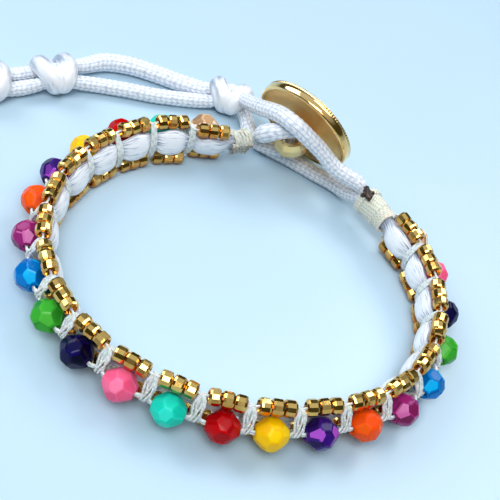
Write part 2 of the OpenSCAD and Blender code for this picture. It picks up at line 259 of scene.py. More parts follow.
class Shape:
    """Points, faces, weave coordinates and painted light of one piece, in millimetres"""

    def __init__(self):
        self.points, self.faces, self.weave, self.painted_light = [], [], [], []

    def skin(self, rings, marks, closed=False):
        """Joins rings into a skin: closed like a tyre, or with a flat cap at both ends"""
        first, sides, count = len(self.points), len(rings[0]), len(rings)
        for ring in rings:
            self.points.extend(ring)
        for j in range(count if closed else count - 1):
            a, b = first + j * sides, first + (j + 1) % count * sides
            low, high = marks[j], marks[min(j + 1, len(marks) - 1)]
            for k in range(sides):
                q = (k + 1) % sides
                u, v = k / sides, (k + 1) / sides
                self.faces.append((a + k, a + q, b + q, b + k))
                self.weave += [u, low, v, low, v, high, u, high]
        if not closed:
            end = first + (count - 1) * sides
            self.faces.append(tuple(range(first + sides - 1, first - 1, -1)))
            self.faces.append(tuple(range(end, end + sides)))
            for mark in (marks[0], marks[-1]):
                for k in range(sides):
                    self.weave += [k / sides, mark]

    def tube(self, rows, radius, sides, step):
        """A tube on rows of x, y, z and radius; radius(row, mark, angle) shapes its surface"""
        rows, marks = even(rows, step)
        rings = []
        for row, mark, (side, lift) in zip(rows, marks, across(rows)):
            ring = []
            for angle in round_angles(sides):
                r = radius(row, mark, angle)
                ring.append(Vector(row[:3])
                    + r * (math.cos(angle) * side + math.sin(angle) * lift))
                # painted light from the relief: a painted highlight on a stitch, painted shade
                # in a groove
                self.painted_light.append(1 - (row[3] - r) / RELIEF)
            rings.append(ring)
        self.skin(rings, marks)
        return marks[-1]

    def piece(self, name, rounded=True):
        """The finished mesh as an object at the origin, in metres"""
        mesh = bpy.data.meshes.new(name)
        mesh.from_pydata([Vector(p) * MM for p in self.points], [], self.faces)
        mesh.uv_layers.new(name="weave").data.foreach_set("uv", self.weave)
        # each point's painted light, from painted shade at 0 to a painted highlight at 1
        high = mesh.attributes.new("painted_light", "FLOAT", "POINT")
        high.data.foreach_set("value", self.painted_light or [0.5] * len(self.points))
        mesh.polygons.foreach_set("use_smooth", [rounded] * len(self.faces))
        return new_object(name, mesh)


def dress(made, finish, slot, *replaced):
    """Gives a piece its finish, lets it ride on the bracelet, and hides what it replaces"""
    made.data.materials.clear()
    made.data.materials.append(finish)
    made.data.polygons.foreach_set("material_index", [0] * len(made.data.polygons))
    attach(made, "root")
    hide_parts(*replaced)
    print(made.name, "has", sum(len(f.vertices) - 2 for f in made.data.polygons), "triangles")
    return made

# %% [markdown]
# ## Satin cord
# The cord is a round braid of satin yarn, polyester fibre with a high lustre. Its flat
# stitches lie in columns along the cord, each slanting the other way from its neighbour,
# so it glitters in rows of short white dashes over grey-blue grooves. The stitches are
# made in the mesh, 1 mm long, a little coarser than real ones so that they show. The
# material reads their relief and mixes in streaks of fibre that run along the cord, and
# both set how smooth it is and its painted light: a painted white highlight on the stitches
# and streaks, and painted grey-blue shade in the grooves.

# %% Satin finish
def satin_finish(name, light, shade, painted_light_share, streaks, cut, constants):
    """Satin: a painted highlight where the yarn stands high or a streak runs, painted shade
    elsewhere, as far as the cut lets it
    """
    finish, tree, shader = new_finish(name, {"Specular IOR Level": 0.6, "IOR": 1.5,
        "Sheen Weight": 0.2, "Sheen Roughness": 0.4, **constants})
    cell = add(tree, "ShaderNodeMapping", {0: add(tree, "ShaderNodeUVMap", uv_map="weave"),
        "Scale": (*streaks, 1)})
    fibres = add(tree, "ShaderNodeTexNoise", {"Vector": cell, "Scale": 1, "Detail": 4})
    strand = add(tree, "ShaderNodeMapRange", {0: fibres, 1: 0.32, 2: 0.56})
    # the painted light of each point and the streaks mix into a painted highlight or painted
    # shade
    high = add(tree, "ShaderNodeAttribute", attribute_name="painted_light")
    lit = add(tree, "ShaderNodeMix", {0: painted_light_share, 2: strand, 3: high.outputs["Fac"]})
    bright = add(tree, "ShaderNodeMapRange", {0: lit, 1: cut[0], 2: cut[1]},
        interpolation_type="SMOOTHSTEP")
    colour = add(tree, "ShaderNodeMix", {0: bright, 6: linear(shade), 7: linear(light)},
        data_type="RGBA")
    gloss = add(tree, "ShaderNodeMapRange", {0: bright, 3: 0.5, 4: 0.3})
    bump = add(tree, "ShaderNodeBump", {"Strength": 0.45, "Distance": 0.00007,
        "Height": strand})
    feed(tree, shader, {"Base Color": colour, "Normal": bump, "Roughness": gloss})
    return finish


# a white painted highlight and a grey-blue painted shade for the cord
cord_satin = satin_finish("braided satin cord", "#F8FAFE", "#BCC8D8", 0.65, (40, 0.9),
    (0.15, 0.7), {})
print("finish made:", cord_satin.name)

# %% [markdown]
# ## The two cord ends
# Both strands leave the right whipping together. One climbs over the button's shank, the
# other passes below it on the table, and both run through the three knots to their bare
# ends. The routes are the ones of the solids, with the cord's radius at each point. The
# photograph shows them up to its edge, so their length is the photograph's: 101 and 90 mm,
# of a cord 2.8 mm thick, and their bare ends lie just past that edge.

# %% Cord ends
STRAND_A = [
    (21.5, 17.5, 6.05, 0.75), (21.1, 18.1, 6.15, 0.85), (20.3, 18.8, 6.5, 1.3),
    (19, 19.4, 6.9, 1.4), (15.5, 20.5, 7.7, 1.45), (12, 21.5, 10.1, 1.5),
    (8.5, 22.1, 12.3, 1.55), (6, 23, 13.4, 1.55), (4, 25.5, 12.7, 1.55),
    (1.8, 29.2, 10.2, 1.5), (0.2, 33.1, 7.5, 1.4), (-0.2, 36.7, 5.2, 1.3),
    (-1.1, 39.1, 4.4, 1.05), (-2.5, 40.2, 4.2, 0.95), (-4.5, 40.6, 3.5, 1.05),
    (-7.5, 41, 2.1, 1.45), (-11.5, 41.8, 1.7, 1.65), (-16, 42.7, 1.7, 1.65),
    (-21, 43.4, 1.75, 1.7), (-26, 42.8, 1.75, 1.7), (-30, 40, 2, 1.45),
    (-32.5, 37.5, 3.2, 1.05), (-34.1, 36.1, 3.7, 0.95), (-35.8, 35.4, 3.2, 1.05),
    (-38.5, 35.3, 1.9, 1.35), (-41.5, 33.5, 1.9, 1.3), (-43.5, 31.7, 3.2, 1.05),
    (-45, 30.4, 3.6, 0.95), (-46.7, 29.5, 3.2, 1.05), (-49, 28.5, 1.8, 1.35),
    (-52.4, 27.4, 1.45, 1.4), (-54.9, 26.4, 1.45, 1.4)]
STRAND_B = [
    (21.4, 17.4, 4.35, 0.75), (21, 18.1, 4.15, 0.85), (20.6, 19.4, 3.35, 1.35),
    (19.5, 21, 2.3, 1.4), (17, 23.4, 1.6, 1.4), (14, 25, 1.45, 1.4),
    (9.8, 27.2, 1.45, 1.4), (5.6, 29.1, 1.45, 1.4), (2.8, 30.8, 1.45, 1.4),
    (1.5, 33.7, 1.45, 1.4), (0.8, 36.3, 1.7, 1.3), (-0.6, 37.7, 2.2, 1.05),
    (-2.5, 38.5, 2.4, 0.95), (-4.6, 38.4, 2.1, 1.05), (-7.5, 38.1, 1.6, 1.35),
    (-11.5, 37.5, 1.45, 1.4), (-16, 36.9, 1.45, 1.4), (-21, 36.7, 1.45, 1.4),
    (-26, 36.3, 1.5, 1.4), (-29.8, 35.5, 1.8, 1.35), (-32.6, 34.4, 2.4, 1.05),
    (-34.3, 33.5, 2.5, 0.95), (-36, 32.7, 2.2, 1.05), (-38.5, 31.6, 1.6, 1.35),
    (-41.2, 30, 1.6, 1.3), (-43.3, 28.5, 2.1, 1.05), (-44.8, 27.4, 2.2, 0.95),
    (-46.4, 26.5, 2, 1.05), (-48.7, 24.9, 1.5, 1.35), (-51.4, 22.9, 1.45, 1.4),
    (-53.3, 21.4, 1.45, 1.4)]
# Columns of stitches round a cord, a stitch's length, and mesh steps across one stitch
COLUMNS, STITCH, SAMPLES = 12, 1.0, 4
TIP, PATH_STEPS = 0.9, 39


def braid(row, mark, angle):
    """Radius of a braided cord: slanted stitches in columns, with a groove beside each"""
    column = angle / math.tau * COLUMNS
    share = column - math.floor(column)
    slant = share if math.floor(column) % 2 else 1 - share
    stitch = 0.5 + 0.5 * math.cos(math.tau * (mark / STITCH + 0.55 * slant))
    swell = math.sqrt(math.sin(math.pi * share) + 1e-9) * (0.15 + 0.85 * stitch)
    return row[3] - RELIEF * (1 - swell)


def cord_end(name, rows, node):
    """One strand as a braided tube, rounded at its bare end"""
    route = smooth(rows)
    lengths = lengths_along(route)
    for row, mark in zip(route, lengths):
        left = lengths[-1] - mark
        if left < TIP:
            row[3] *= max(0.35, math.sqrt(1 - (1 - left / TIP) ** 2))
    shape = Shape()
    length = shape.tube(route, braid, SAMPLES * COLUMNS, STITCH / SAMPLES)
    made = dress(shape.piece(name), cord_satin, "satin", node)
    return made, even(route, length / PATH_STEPS)[0], length


strand_a, path_a, length_a = cord_end("cord_end_over_the_shank", STRAND_A, "strand_a")
strand_b, path_b, length_b = cord_end("cord_end_on_the_table", STRAND_B, "strand_b")
print("cord ends", round(length_a, 1), "and", round(length_b, 1), "mm long")

# %% [markdown]
# ## The overhand knots
# Both strands are tied together in one overhand knot three times. From outside, such a
# knot is two fat wraps that part at the top and meet below, like a heart, pulled so tight
# that the stitches close up and the satin looks smooth. Each is modelled as what it is, a
# short helix of thick cord round the strands, with both of its ends tucked inside.

# %% Knots
# a white painted highlight and a blue-grey painted shade for the knots
knot_satin = satin_finish("tight satin knot", "#F4F6FA", "#8798AE", 0.65, (9, 0.35),
    (0.3, 0.9), {"Coat Weight": 0.3, "Coat Roughness": 0.3})
KNOTS = {
    # middle, heading of its axis, spacing of the wraps, how much wider than high
    "knot_1": ((-2.6, 39.2, 3.0), 172, 3.1, 1.3),
    "knot_2": ((-34.3, 35.0, 3.0), 208, 2.9, 1.8),
    "knot_3": ((-45.0, 29.0, 3.0), 212, 2.9, 1.7)}
# Radius of the doubled cord, distance of its middle from the axis, where the helix starts
# and how far it turns in degrees, its number of steps, and the share that crosses or tucks
WRAP_R, WRAP_OUT, WRAP_START, WRAP_TURN, WRAP_STEPS, TUCK = 1.85, 1.25, 250, 760, 90, 0.1


def overhand(name, middle, heading, spacing, widen):
    """Two wraps side by side round an axis, with the cord's ends and crossing underneath"""
    h = math.radians(heading)
    axis, side, lift = (Vector((math.cos(h), math.sin(h), 0)),
        Vector((-math.sin(h), math.cos(h), 0)), Vector((0, 0, 1)))
    rows = []
    for k in range(WRAP_STEPS + 1):
        t = k / WRAP_STEPS
        angle = math.radians(WRAP_START + WRAP_TURN * t)
        tuck = math.sin(math.pi / 2 * min(1, t / TUCK, (1 - t) / TUCK))
        # each half of the route is one wrap; they part at the top and meet below
        place = math.sin(math.pi / 2 * max(-1, min(1, (t - 0.5) / TUCK)))
        place *= 0.5 * spacing * (1 + 0.55 * math.sin(angle - 0.8))
        out = WRAP_OUT * (0.3 + 0.7 * tuck)
        rows.append([*(Vector(middle) + place * axis
            + out * (widen * math.cos(angle) * side + math.sin(angle) * lift)),
            WRAP_R * (0.7 + 0.3 * tuck)])
    shape = Shape()
    # nine shallow folds run along the tight cord
    shape.tube(rows, lambda row, mark, angle: row[3] - 0.02 * (1 + math.cos(9 * angle)),
        36, 0.3)
    # painted light by direction: a painted highlight in front and above, painted shade behind
    toward = Vector((0.1, -0.85, 0.5))
    shape.painted_light = [max(0.25, 0.5 + 0.5 * (p - Vector(middle)).normalized().dot(toward))
        for p in shape.points]
    return dress(shape.piece(name + "_wraps"), knot_satin, "satin", name)


knots = [overhand(name, *facts) for name, facts in KNOTS.items()]
print(len(knots), "knots on the cord ends")

# %% [markdown]
# ## The loop through the button's eye
# The same cord, folded at its middle, leaves the left whipping, goes over the shank, through
# its eye and back underneath. Both of its ends are held, so it is a tied loop of 23 mm and
# no free cord. Its route is given in the button's own directions, level, up and front.

# %% Button loop
BUTTON_AT = Vector((9.2, 27.7, 8.8))
BUTTON_HEADING, BUTTON_TILT = math.radians(142.5), math.radians(65)
level = Vector((math.cos(BUTTON_HEADING), math.sin(BUTTON_HEADING), 0))
front = Vector((math.sin(BUTTON_TILT) * math.sin(BUTTON_HEADING),
    -math.sin(BUTTON_TILT) * math.cos(BUTTON_HEADING), math.cos(BUTTON_TILT)))
up = front.cross(level)
LOOP = [
    (5.2, -0.8, -6.1, 0.95), (4.4, 0.5, -5.7, 1.45), (3.7, 2.0, -5.95, 1.65),
    (2.9, 3.0, -5.7, 1.65), (1.9, 3.4, -4.9, 1.55), (0.9, 3.5, -3.9, 1.4),
    (0.2, 3.1, -3.2, 1.3), (0, 2.2, -2.9, 1.15), (0, 0, -2.9, 1.1), (0, -2.2, -2.9, 1.1),
    (0.2, -3.2, -3.2, 1.1), (1.3, -3.7, -4, 1.2), (3, -3.5, -5, 1.25),
    (4.6, -3.1, -5.9, 1.2), (5.65, -2.55, -6.7, 0.95)]
loop_rows = [(*(BUTTON_AT + p[0] * level + p[1] * up + p[2] * front), p[3]) for p in LOOP]
for half, place in ((0.85, 0), (-0.85, len(loop_rows) + 1)):
    loop_rows.insert(place, (*at(left_whip, 4.0, 0, half), 0.8))
loop_shape = Shape()
loop_length = loop_shape.tube(smooth(loop_rows), braid, SAMPLES * COLUMNS, STITCH / SAMPLES)
dress(loop_shape.piece("braided_button_loop"), cord_satin, "satin", "button_loop")
print("button loop", round(loop_length, 1), "mm long")

# %% [markdown]
# ## The core cords
# Inside the band the same satin cord runs twice, one strand above the other. Every tie
# pinches it, so between two ties it swells to a little pillow, and the yarn gathers in
# folds towards the pinches. Both strands are pressed flat against each other, so together
# they look like one cushion, and each is modelled as half of an oval. The stitches are
# pulled straight, which shows as long silky streaks, painted as highlights. The pillow gets
# a painted highlight on its swell and painted shade at its rims and in the folds. A curve
# through the key rings rounds the pillows, and a ripple that is deep in the pinch and fades
# on the pillow makes folds.

# %% Core cords
# a white painted highlight and a blue-grey painted shade for the core
core_satin = satin_finish("stretched core satin", "#F8FBFF", "#8294AE", 0.45, (60, 0.35),
    (0.2, 0.8), {"Coat Weight": 0.3, "Coat Roughness": 0.3})


def core_cord(side, node):
    """One strand of the core, from the right whipping to the left one"""
    # frame, along, outward, half width, height and depth of the folds at each key ring
    keys = [(right_whip, s, 0, 0.95, 1.6, 1) for s in (-6.7, -3, 0)]
    for i, unit in enumerate(units):
        if i > 0:
            keys.append((ties[i - 1], 0.6, -0.7, 0.6, 1.7, 1))
        for s, swell in ((-1.7, 0.9), (0, 1.05), (1.7, 0.9)):
            keys.append((unit, s, -0.95, 1.05 * swell, 2.35 * swell, 0.2))
        if i < len(ties):
            keys.append((ties[i], -0.6, -0.7, 0.6, 1.7, 1))
    keys += [(left_whip, s, 0, 0.95, 1.6, 1) for s in (0, 2, 3.9)]
    rows = [(*at(f, s, o, 0), wide, high, folds, *f[2], *f[3])
        for f, s, o, wide, high, folds in keys]
    rows, marks = even(smooth(rows, 8), 0.45)
    rings, painted_light = [], []
    for row, mark in zip(rows, marks):
        middle, wide, high, folds = Vector(row[:3]), row[3], row[4], row[5]
        outward, upward = Vector(row[6:9]), Vector(row[9:12])
        ring = []
        for angle in round_angles(40):
            ripple = 1 - 0.1 * folds * (1 + math.cos(10 * angle + 0.9 * math.sin(mark))) / 2
            up_here = max(-0.03, ripple * high * math.sin(angle))
            ring.append(middle + ripple * wide * math.cos(angle) * outward
                + side * up_here * upward)
            # painted light: a painted highlight on the pillow's swell, painted shade at its
            # rims and in the folds
            painted_light.append((1.2 - folds) * abs(math.cos(angle)) ** 0.7)
        rings.append(ring if side > 0 else ring[::-1])
    shape = Shape()
    shape.skin(rings, marks)
    shape.painted_light = painted_light
    return dress(shape.piece(node + "_satin"), core_satin, "satin", node)


for side, node in ((1, "upper_core_cord"), (-1, "lower_core_cord")):
    core_cord(side, node)

# %% [markdown]
# ## Two node trees: thread on a path, and repeat on points
# Everything knotted here is one thread, 0.4 to 0.5 mm thick, and everything repeated is
# one shape set down again and again. Both are rules, so each is a Geometry Nodes tree. The
# first turns a bare line into twisted thread: an oval profile that turns as it goes looks
# like two plies. The second sets one piece down on points, each with its own turn, and
# changes its size and turn a little, as a hand does. Both end in a real mesh.

# %% Thread on a path
def sockets(tree, inputs):
    """Names the inputs of a tree, after its geometry, and gives it one geometry output"""
    for name, kind in (("Geometry", "Geometry"), *inputs):
        tree.interface.new_socket(name, in_out="INPUT", socket_type="NodeSocket" + kind)
    tree.interface.new_socket("Geometry", in_out="OUTPUT", socket_type="NodeSocketGeometry")
    return add(tree, "NodeGroupInput").outputs


def close(tree, geometry, finish):
    """Ends a tree in Realize Instances and Set Material"""
    real = add(tree, "GeometryNodeRealizeInstances", {0: geometry})
    painted = add(tree, "GeometryNodeSetMaterial", {0: real, "Material": finish})
    add(tree, "NodeGroupOutput", {0: painted})


tree = thread_tree = bpy.data.node_groups.new("Thread on a path", "GeometryNodeTree")
given = sockets(tree, (("Thickness", "Float"), ("Flatness", "Float"),
    ("Turns per metre", "Float"), ("Finish", "Material")))
line = add(tree, "GeometryNodeMeshToCurve", {0: given["Geometry"]})
gone = add(tree, "GeometryNodeSplineParameter")
marked = add(tree, "GeometryNodeCaptureAttribute")
marked.capture_items.new("FLOAT", "Length")
feed(tree, marked, {0: line, 1: gone.outputs["Length"]})
twist = add(tree, "ShaderNodeMath", {0: marked.outputs[1], 1: given["Turns per metre"]},
    operation="MULTIPLY")
angle = add(tree, "ShaderNodeMath", {0: twist, 1: math.tau}, operation="MULTIPLY")
tilted = add(tree, "GeometryNodeSetCurveTilt", {0: marked, "Tilt": angle})
radius = add(tree, "ShaderNodeMath", {0: given["Thickness"], 1: 0.5}, operation="MULTIPLY")
ring = add(tree, "GeometryNodeCurvePrimitiveCircle", {"Resolution": 8, "Radius": radius},
    mode="RADIUS")
oval = add(tree, "GeometryNodeTransform", {0: ring, "Scale": add(tree, "ShaderNodeCombineXYZ",
    {0: 1.0, 1: given["Flatness"], 2: 1.0})})
turned = add(tree, "GeometryNodeCaptureAttribute")
turned.capture_items.new("FLOAT", "Round")
feed(tree, turned, {0: oval, 1: gone.outputs["Factor"]})
swept = add(tree, "GeometryNodeCurveToMesh", {0: tilted, 1: turned, "Fill Caps": True})
millimetres = add(tree, "ShaderNodeMath", {0: marked.outputs[1], 1: 1 / MM},
    operation="MULTIPLY")
both = add(tree, "ShaderNodeCombineXYZ", {0: turned.outputs[1], 1: millimetres})
kept = add(tree, "GeometryNodeStoreNamedAttribute", {0: swept, "Name": "weave", "Value": both},
    data_type="FLOAT2", domain="CORNER")
soft = add(tree, "GeometryNodeSetShadeSmooth", {0: kept})
close(tree, soft, given["Finish"])


def through(made, tree, inputs):
    """Runs a tree on an object and keeps the result as its plain mesh"""
    run = made.modifiers.new(tree.name, "NODES")
    run.node_group = tree
    for item in tree.interface.items_tree:
        if item.in_out == "INPUT" and item.name in inputs:
            run[item.identifier] = inputs[item.name]
    seen = made.evaluated_get(bpy.context.evaluated_depsgraph_get())
    mesh = bpy.data.meshes.new_from_object(seen)
    made.modifiers.remove(run)
    made.data = mesh
    return made


def on_lines(name, lines, thickness, finish, closed=False, flatness=0.8, twist=0.75):
    """Twisted thread, of a thickness and turns in millimetres, on lines through points"""
    points, edges = [], []
    for route in lines:
        first = len(points)
        points += [Vector(p[:3]) * MM for p in route]
        edges += [(first + k, first + k + 1) for k in range(len(route) - 1)]
        edges += [(len(points) - 1, first)] if closed else []
    mesh = bpy.data.meshes.new(name)
    mesh.from_pydata(points, edges, [])
    return through(new_object(name, mesh), thread_tree, {"Thickness": thickness * MM,
        "Flatness": flatness, "Turns per metre": twist / MM, "Finish": finish})


print(thread_tree.name, "has", len(thread_tree.nodes), "nodes")

# %% Repeat on points
tree = repeat_tree = bpy.data.node_groups.new("Repeat on points", "GeometryNodeTree")
given = sockets(tree, (("Piece", "Object"), ("Size change", "Float"), ("Turn change", "Float"),
    ("Seed", "Int"), ("Finish", "Material")))
source = add(tree, "GeometryNodeObjectInfo", {0: given["Piece"]})
turn = add(tree, "FunctionNodeEulerToRotation", {0: add(tree, "GeometryNodeInputNamedAttribute",
    {0: "turn"}, data_type="FLOAT_VECTOR")})
less = add(tree, "ShaderNodeMath", {0: given["Turn change"], 1: -1.0}, operation="MULTIPLY")
lurch = add(tree, "FunctionNodeRandomValue", {0: less, 1: given["Turn change"],
    "Seed": given["Seed"]}, data_type="FLOAT_VECTOR")
turned = add(tree, "FunctionNodeRotateRotation", {0: turn,
    1: add(tree, "FunctionNodeEulerToRotation", {0: lurch})}, rotation_space="LOCAL")
smallest = add(tree, "ShaderNodeMath", {0: 1.0, 1: given["Size change"]}, operation="SUBTRACT")
size = add(tree, "FunctionNodeRandomValue", {2: smallest, 3: 1.0, "Seed": given["Seed"]},
    data_type="FLOAT")
placed = add(tree, "GeometryNodeInstanceOnPoints", {0: given["Geometry"],
    "Instance": source.outputs["Geometry"], "Rotation": turned, "Scale": size})
close(tree, placed, given["Finish"])


def repeat(name, source, places, size_change, turn_change, seed, finish):
    """The source piece on each place, a point with its own along, outward and up"""
    mesh = bpy.data.meshes.new(name)
    mesh.from_pydata([p[0] * MM for p in places], [], [])
    turns = mesh.attributes.new("turn", "FLOAT_VECTOR", "POINT")
    for value, place in zip(turns.data, places):
        value.vector = Matrix(place[1:]).transposed().to_euler()
    return through(new_object(name, mesh), repeat_tree, {"Piece": source,
        "Size change": size_change, "Turn change": math.radians(turn_change), "Seed": seed,
        "Finish": finish})


print(repeat_tree.name, "has", len(repeat_tree.nodes), "nodes")

# %% [markdown]
# ## Gold seed beads
# A seed bead is a short piece cut from a thin glass tube and tumbled until its edges are
# round. These are lined and coated with gold, so they mirror like polished metal, with
# painted shade that makes them a little deeper and browner below. One seed is a closed ring
# of 84 flat faces, which give the sparkle, and the tree sets it down 66 times in each edge
# row, three seeds to a unit.

# %% Seed beads
gold_seed, tree, shader = new_finish("gold coated glass", {"Metallic": 1.0,
    "Coat Weight": 0.3, "Coat Roughness": 0.03})
spots = add(tree, "ShaderNodeTexNoise", {"Scale": 420, "Detail": 2,
    "Vector": add(tree, "ShaderNodeTexCoord").outputs["Object"]})
# painted shade: the underside is painted deeper and more amber than the top, by the facet's
# direction
slope = add(tree, "ShaderNodeSeparateXYZ",
    {0: add(tree, "ShaderNodeNewGeometry").outputs["True Normal"]})
depth = add(tree, "ShaderNodeMath", {0: slope.outputs["Z"], 1: 0.5, 2: spots},
    operation="MULTIPLY_ADD")
tone = add(tree, "ShaderNodeMapRange", {0: depth, 1: 0.3, 2: 0.85})
gold = add(tree, "ShaderNodeMix", {0: tone, 6: linear("#C87418"), 7: linear("#F1C36A")},
    data_type="RGBA")
pits = add(tree, "ShaderNodeBump", {"Strength": 0.12, "Distance": 0.00005, "Height": spots})
blur = add(tree, "ShaderNodeMapRange", {0: spots, 3: 0.05, 4: 0.16})
feed(tree, shader, {"Base Color": gold, "Normal": pits, "Roughness": blur})

SEED_LONG, SEED_WIDE, SEED_SIDES, SEED_PITCH = 1.86, 1.3, 12, 1.87
# place along the seed and distance from its thread, the last ring inside the hole
profile = [(-0.5, 0.66), (-0.42, 0.9), (-0.27, 1), (0.27, 1), (0.42, 0.9), (0.5, 0.66),
    (0, 0.36)]
seed_shape = Shape()
seed_shape.skin([[Vector((x * SEED_LONG, SEED_WIDE * r * math.cos(angle),
    SEED_WIDE * r * math.sin(angle))) for angle in round_angles(SEED_SIDES)]
    for x, r in profile], list(range(len(profile) + 1)), closed=True)
one_seed = seed_shape.piece("one_seed", rounded=False)
rolls = random.Random(11)
for side, node in ((1, "upper_seed_row"), (-1, "lower_seed_row")):
    # a seed is a little fatter than its solid, so the lower row is raised off the table
    height = side * ROW + SEED_WIDE - SEED_R
    places = []
    for u in units:
        for s in (-SEED_PITCH, 0, SEED_PITCH):
            # each seed has rolled a little on its thread
            roll = rolls.uniform(0, math.tau / SEED_SIDES)
            places.append((at(u, s, 0, height), u[1],
                math.cos(roll) * u[2] + math.sin(roll) * u[3],
                math.cos(roll) * u[3] - math.sin(roll) * u[2]))
    row = repeat(node.replace("row", "beads"), one_seed, places, 0.035, 6, 7 + side,
        gold_seed)
    dress(row, gold_seed, "gold_seed_glass", node)
bpy.data.objects.remove(one_seed)
print(len(places), "seeds in each row")

# %% [markdown]
# ## The thread and its ties
# The knotting thread is waxed nylon, cream white with a dull gloss. Between two units it
# goes round both satin strands, both edge threads and the bead thread: narrow where it
# squeezes between the seeds, spread to 2 mm where it crosses itself on the outside, and
# side by side as a smooth band on the inside. One tie of six rounds is made from lines,
# and the second tree sets it on all 21 places.

# %% Thread finish
def thread_finish(name, light, dark):
    """Waxed two-ply thread: pale plies with painted shade in a darker line where they meet"""
    finish, tree, shader = new_finish(name, {"Specular IOR Level": 0.45, "IOR": 1.5,
        "Sheen Weight": 0.2, "Sheen Roughness": 0.5, "Subsurface Weight": 0.25,
        "Subsurface Scale": 0.0008})
    weave = add(tree, "ShaderNodeSeparateXYZ",
        {0: add(tree, "ShaderNodeUVMap", uv_map="weave")})
    fibres = add(tree, "ShaderNodeTexNoise", {"Scale": 2600, "Detail": 3,
        "Vector": add(tree, "ShaderNodeTexCoord").outputs["Object"]})
    turns = add(tree, "ShaderNodeMath", {0: weave.outputs["Y"], 1: 1.5, 2: weave.outputs["X"]},
        operation="MULTIPLY_ADD")
    angle = add(tree, "ShaderNodeMath", {0: turns, 1: math.tau}, operation="MULTIPLY")
    wave = add(tree, "ShaderNodeMath", {0: angle}, operation="COSINE")
    # painted shade in a darker line where the two plies meet
    ply = add(tree, "ShaderNodeMapRange", {0: wave, 1: -1, 2: 0.2})
    colour = add(tree, "ShaderNodeMix", {0: ply, 6: linear(dark), 7: linear(light)},
        data_type="RGBA")
    worn = add(tree, "ShaderNodeMix", {0: 0.12, 6: colour, 7: fibres}, data_type="RGBA",
        blend_type="SOFT_LIGHT")
    height = add(tree, "ShaderNodeMath", {0: ply, 1: 0.6, 2: fibres}, operation="MULTIPLY_ADD")
    bump = add(tree, "ShaderNodeBump", {"Strength": 0.35, "Distance": 0.00005,
        "Height": height})
    gloss = add(tree, "ShaderNodeMapRange", {0: fibres, 3: 0.35, 4: 0.65})
    feed(tree, shader, {"Base Color": worn, "Normal": bump, "Roughness": gloss})
    return finish


waxed = thread_finish("waxed nylon thread", "#FBFBF7", "#DEDED8")
print("finish made:", waxed.name)

# %% Ties
# Thickness of the thread where it is drawn straight, and where it bends and opens a little
THREAD, LOOSE = 0.45, 0.5
# Outward and up at eight places of a round: outside, upper outside, top, inside ... bottom
TIE = [(2.1, 0), (1.0, 2.1), (0, 3.15), (-0.8, 2.2), (-1.4, 0), (-0.8, -2.2),
    (0, -3.25), (1.0, -2.1)]


def tie_round(keys):
    """A closed round; keys move each of its eight places along the band and away from it"""
    rows = [(s, o * (1 + grow / math.hypot(o, u)), u * (1 + grow / math.hypot(o, u)))
        for (o, u), (s, grow) in zip(TIE, keys)]
    return [curve_point(*(rows[(i + d) % len(TIE)] for d in (-1, 0, 1, 2)), k / 6)
        for i in range(len(TIE)) for k in range(6)]


rounds = [
    [(0.3, 0), (0.75, 0), (0.35, 0), (0.36, 0), (0.4, 0), (0.36, 0), (0.1, 0), (-0.3, 0)],
    [(-0.2, 0), (0.3, 0), (0.12, 0), (0.12, 0), (0.14, 0), (0.12, 0), (-0.2, 0), (-0.8, 0)],
    [(0.3, 0.4), (-0.3, 0.15), (-0.12, 0), (-0.12, 0), (-0.13, 0), (-0.12, 0), (0.4, 0),
        (0.85, 0.3)],
    [(-0.25, 0.4), (-0.8, 0.1), (-0.35, 0), (-0.36, 0), (-0.4, 0), (-0.36, 0), (-0.4, 0),
        (0.35, 0.35)],
    [(-0.8, 0.15), (-0.55, 0.25), (0, -0.35), (0, -0.1), (0, 0.03), (0, -0.1), (0, -0.35),
        (-0.6, 0.3)],
    [(0.1, -0.3), (0.1, -0.25), (0, -0.2), (0, -0.2), (0, -0.2), (0, -0.2), (0, -0.2),
        (-0.1, -0.25)]]
one_tie = on_lines("one_tie", [tie_round(keys) for keys in rounds], LOOSE, waxed,
    closed=True)
square_knots = repeat("thread_ties", one_tie, ties, 0.03, 2.5, 3, waxed)
dress(square_knots, waxed, "thread", "square_knots")
bpy.data.objects.remove(one_tie)
print(len(ties), "ties of", len(rounds), "rounds")

# %% [markdown]
# ## Threads through the beads
# The glass beads sit on a double thread, which dips into each tie between two of them. The
# seeds of each edge have one thread. All of them are lines through the bead holes, so the
# first tree makes them. The double thread changes sides at every tie, as in a braid.

# %% Threads through the beads
# How far a glass bead's middle stands outside the band's, half the length of its bore, and
# half the distance between the two threads beside it
BEAD_OUT, BEAD_HALF, PAIR = 2.45, 2.6, 0.28
# How far each glass bead has slid on its thread: along, outward and up
SHIFTS = [(0.2, 0.9, -0.6), (0, 0.45, -0.3), (0.2, 0.3, -0.4), (0.2, 0.3, -0.4),
    (0.3, 0.3, -0.4), (0, 0.3, -0.4), (0, 0, 0), (0, 0, 0), (0, 0, 0), (-0.4, 0, 0), (0, 0, 0),
    (0.1, 0.05, 0.25), (0.4, 0, 0), (0, 0.1, 0), (0, 0.1, 0), (0, 0.1, 0), (0, 0.3, 0),
    (-0.1, 0.9, -0.3), (-0.5, 0.7, 0.4), (-0.35, 0.7, 0.75), (-0.5, 0.6, 0.6), (-0.5, 0.2, 0)]


def bead_line(side):
    """One of the two threads through the glass beads"""
    rows = [at(right_whip, 0.3, 1.475, 0.2 * side)]
    for i, (unit, (s, o, u)) in enumerate(zip(units, SHIFTS)):
        swap = side * (1 if i % 2 else -1)
        rows += [at(unit, s - BEAD_HALF, BEAD_OUT + o, u + PAIR * swap),
            at(unit, s, BEAD_OUT + o, u),
            at(unit, s + BEAD_HALF, BEAD_OUT + o, u + PAIR * swap)]
        if i < len(ties):
            rows.append(at(ties[i], 0, 1.75, 0.0))
    return even(smooth([*rows, at(left_whip, -0.3, 1.475, -0.2 * side)], 6), 0.3)[0]


